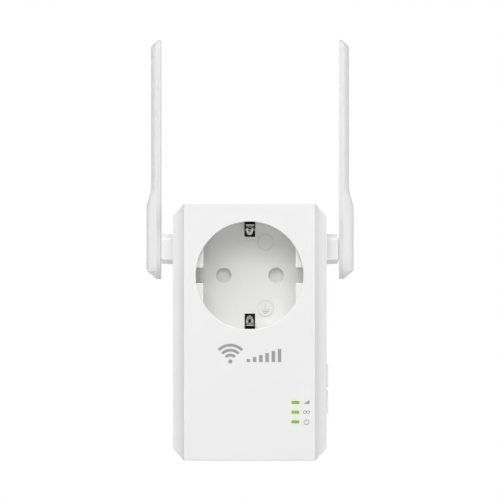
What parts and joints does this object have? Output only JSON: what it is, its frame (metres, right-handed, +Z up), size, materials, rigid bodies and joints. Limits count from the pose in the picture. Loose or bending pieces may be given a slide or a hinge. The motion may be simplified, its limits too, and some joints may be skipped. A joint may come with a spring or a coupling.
{
  "type": "wifi range extender",
  "caption": "Plug-in Wi-Fi range extender with pass-through socket, folding side antennas, side buttons and status lights.",
  "frame": {"origin": "centre of the plug's mating face, midway between the two plug pins", "axes": "+X to the right as seen from the front, +Y out of the back into the wall, +Z up along the upright antennas"},
  "size_m": [0.0754, 0.0746, 0.1524],
  "materials": {
    "white_shell": "fine satin texture",
    "white_well": "smooth satin",
    "print_grey": "pad-printed ink",
    "label_film": "blank satin film",
    "light_green": "clear, lit from behind",
    "hinge_white": "satin",
    "black_plastic": "fine texture",
    "nickel": "nickel-plated, satin",
    "spring_steel": "bright",
    "screw_steel": "zinc-plated",
    "contact_brass": "bright",
    "board_green": "solder mask",
    "ferrite": "matt sintered",
    "tape_yellow": "polyester tape",
    "can_sleeve": "shrink sleeve",
    "shield_tin": "tinned",
    "pad_grey": "soft silicone",
    "blue_epoxy": "dipped coating",
    "green_epoxy": "dipped coating",
    "lead_brown": "insulation",
    "lead_blue": "insulation",
    "barrier_card": "fish paper",
    "led_lens": "diffused"
  },
  "bodies": {
    "housing": {"front_cover": "white_shell", "rear_shell": "white_shell", "plug_boss": "white_shell", "housing_screws": "screw_steel", "front_print": "print_grey", "rating_label": "label_film", "light_pipe": "light_green", "socket_well": "white_well", "socket_screws": "screw_steel", "shutter_spring": "spring_steel", "contact_carrier": "black_plastic", "carrier_screws": "screw_steel", "live_contact": "contact_brass", "neutral_contact": "contact_brass", "earth_bracket": "nickel", "earth_sleeve": "nickel", "plug_pin_left": "nickel", "plug_pin_right": "nickel", "live_lead": "lead_brown", "neutral_lead": "lead_blue", "insulation_barrier": "barrier_card", "power_board": "board_green", "transformer_core": "ferrite", "transformer_winding": "tape_yellow", "bulk_capacitors": "can_sleeve", "output_capacitor": "can_sleeve", "mains_fuse": "green_epoxy", "varistor": "blue_epoxy", "power_chips": "black_plastic", "board_header": "contact_brass", "main_board": "board_green", "board_screws": "screw_steel", "rf_shield": "shield_tin", "wifi_chip": "black_plastic", "thermal_pad": "pad_grey", "lan_magnetics": "black_plastic", "ethernet_jack": "black_plastic", "jack_contacts": "contact_brass", "status_leds": "led_lens", "pair_switch": "shield_tin", "reset_switch": "shield_tin", "antenna_left_washer": "spring_steel", "antenna_left_coax": "black_plastic", "antenna_right_washer": "spring_steel", "antenna_right_coax": "black_plastic"},
    "antenna_left": {"antenna_left_outer_shell": "white_shell", "antenna_left_inner_shell": "white_shell", "antenna_left_radiator": "contact_brass", "antenna_left_hinge": "hinge_white", "antenna_left_clip": "spring_steel"},
    "antenna_right": {"antenna_right_outer_shell": "white_shell", "antenna_right_inner_shell": "white_shell", "antenna_right_radiator": "contact_brass", "antenna_right_hinge": "hinge_white", "antenna_right_clip": "spring_steel"},
    "pair_key": {"pair_button": "white_shell", "pair_plunger": "black_plastic"},
    "reset_key": {"reset_button": "white_shell", "reset_plunger": "black_plastic"},
    "shutter_plate": {"shutter": "white_well"}
  },
  "joints": [
    {"name": "antenna_left_pivot", "type": "hinge", "parent": "housing", "child": "antenna_left", "pos_m": [-0.0317, -0.031, 0.0095], "axis": [1, 0, 0], "range_deg": [0, 180]},
    {"name": "antenna_right_pivot", "type": "hinge", "parent": "housing", "child": "antenna_right", "pos_m": [0.0317, -0.031, 0.0095], "axis": [1, 0, 0], "range_deg": [0, 180]},
    {"name": "pair_press", "type": "slide", "parent": "housing", "child": "pair_key", "axis": [-1, 0, 0], "range_m": [0, 0.0004], "stiffness_N_per_m": 1000, "springref_m": -0.0008},
    {"name": "reset_press", "type": "slide", "parent": "housing", "child": "reset_key", "axis": [-1, 0, 0], "range_m": [0, 0.0004], "stiffness_N_per_m": 1000, "springref_m": -0.0008},
    {"name": "shutter_turn", "type": "hinge", "parent": "housing", "child": "shutter_plate", "pos_m": [0, -0.0344, 0], "axis": [0, 1, 0], "range_deg": [0, 42], "stiffness_Nm_per_rad": 0.002, "springref_deg": -22.92}
  ]
}
